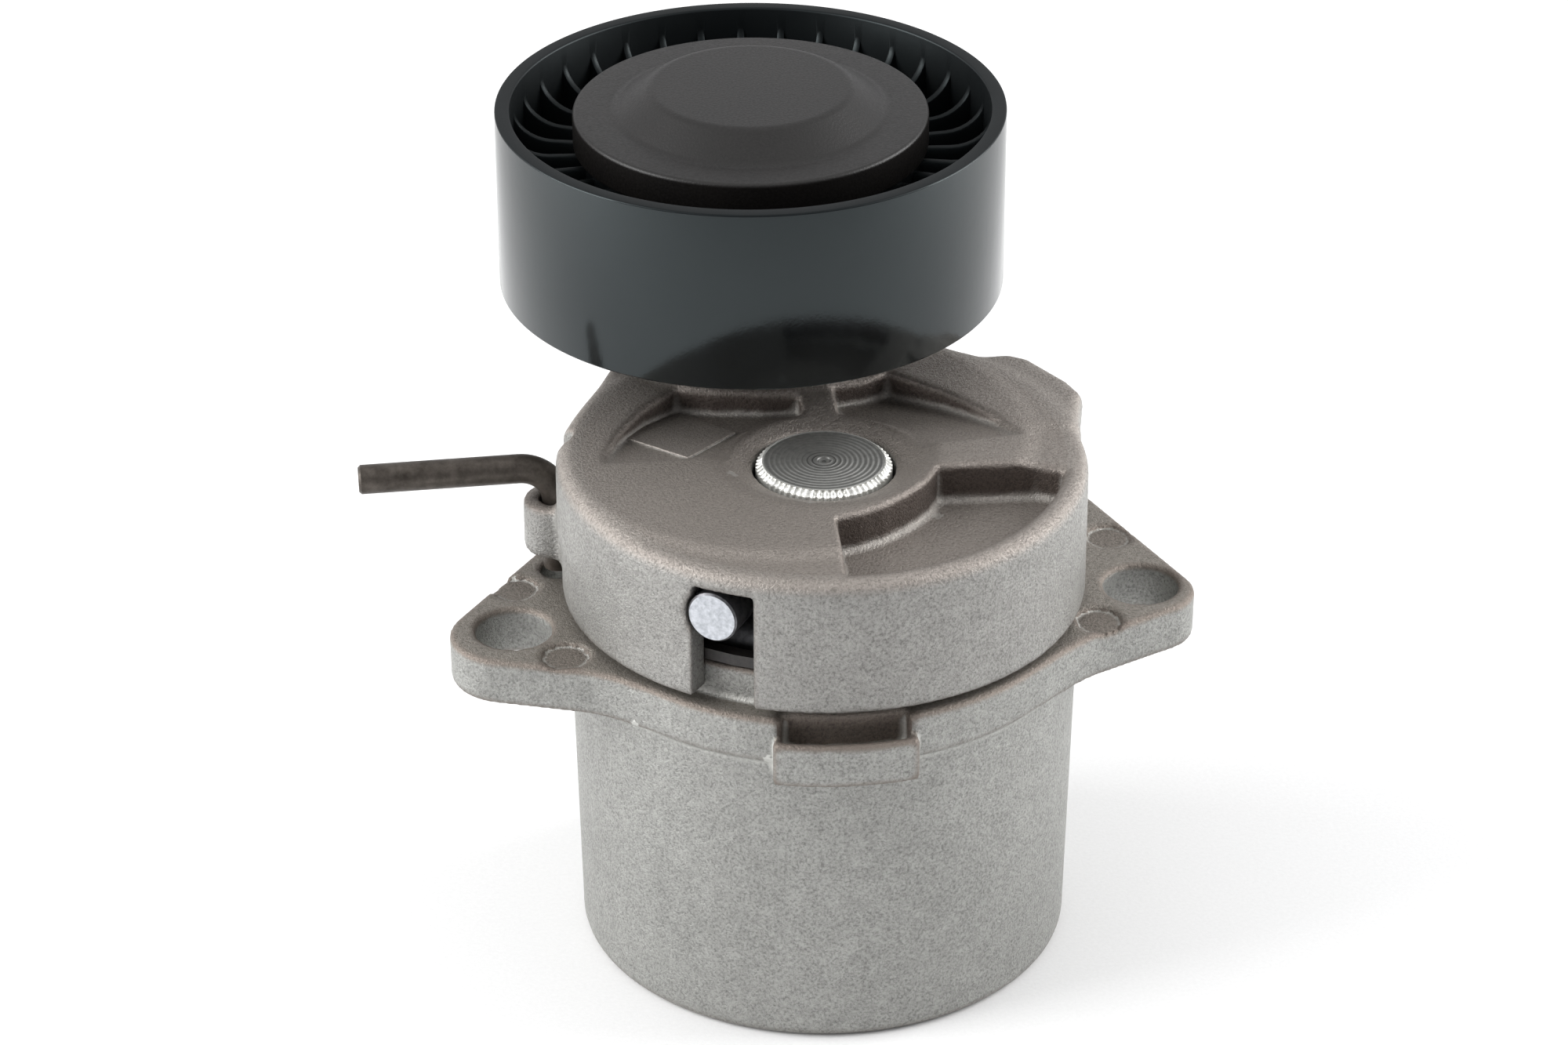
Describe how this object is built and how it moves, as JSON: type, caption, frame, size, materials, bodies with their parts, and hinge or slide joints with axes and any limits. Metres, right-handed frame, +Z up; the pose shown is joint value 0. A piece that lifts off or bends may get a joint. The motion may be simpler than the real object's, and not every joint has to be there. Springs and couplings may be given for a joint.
{
  "type": "belt tensioner idler",
  "caption": "Spring-loaded belt tensioner: cast cup with two mounting ears, pivoting arm, smooth idler pulley with ribbed core, and a bent lock pin.",
  "frame": {"origin": "on the arm's pivot axis at the bottom face of the cup", "axes": "+Z up the pivot axis towards the arm; +X along the line of the two mounting holes towards the right ear; +Y towards the pulley"},
  "size_m": [0.1117, 0.109, 0.1093],
  "materials": {
    "cast_aluminium": "sand-textured die casting, satin",
    "bright_steel": "turned and knurled",
    "dark_steel": "oil-blackened, brown tint",
    "spring_steel": "drawn wire, bright sheared end",
    "black_nylon": "moulded glass-filled nylon, semi-gloss",
    "black_paint": "fine satin black coat",
    "bush_polymer": "dry-running bush polymer",
    "seal_rubber": "matte"
  },
  "bodies": {
    "base": {"base_housing": "cast_aluminium", "bottom_cap": "bright_steel", "pivot_bush_lower": "bush_polymer", "pivot_bush_upper": "bush_polymer", "damping_ring": "black_nylon", "torsion_spring": "spring_steel"},
    "arm": {"tensioner_arm": "cast_aluminium", "friction_washer": "bush_polymer", "pivot_shaft": "bright_steel", "retaining_plate": "bright_steel", "bearing_inner_ring": "bright_steel", "bearing_sleeve": "bright_steel", "pulley_bolt": "dark_steel"},
    "lock_pin": {"lock_pin": "dark_steel"},
    "pulley": {"pulley": "black_nylon", "bearing_outer_ring": "bright_steel", "bearing_seal_lower": "seal_rubber", "bearing_seal_upper": "seal_rubber", "dust_cap": "black_paint"},
    "ball_set": {"ball_cage": "bright_steel", "ball_1": "bright_steel", "ball_2": "bright_steel", "ball_3": "bright_steel", "ball_4": "bright_steel", "ball_5": "bright_steel", "ball_6": "bright_steel", "ball_7": "bright_steel", "ball_8": "bright_steel"}
  },
  "joints": [
    {"name": "arm_pivot", "type": "hinge", "parent": "base", "child": "arm", "pos_m": [0, 0, 0.0444], "axis": [0, 0, 1], "range_deg": [-22, 2], "deforming": ["torsion_spring"]},
    {"name": "pin_pull", "type": "slide", "parent": "arm", "child": "lock_pin", "axis": [0, 0, 1], "range_m": [0, 0.02]},
    {"name": "pulley_spin", "type": "hinge", "parent": "arm", "child": "pulley", "pos_m": [-0.00492, 0.03645, 0.0937], "axis": [0, 0, 1], "continuous": true},
    {"name": "ball_set_spin", "type": "hinge", "parent": "arm", "child": "ball_set", "pos_m": [-0.00492, 0.03645, 0.0937], "axis": [0, 0, 1], "continuous": true}
  ],
  "couplings": [
    {"joint": "ball_set_spin", "follows": "pulley_spin", "ratio": 0.618}
  ]
}
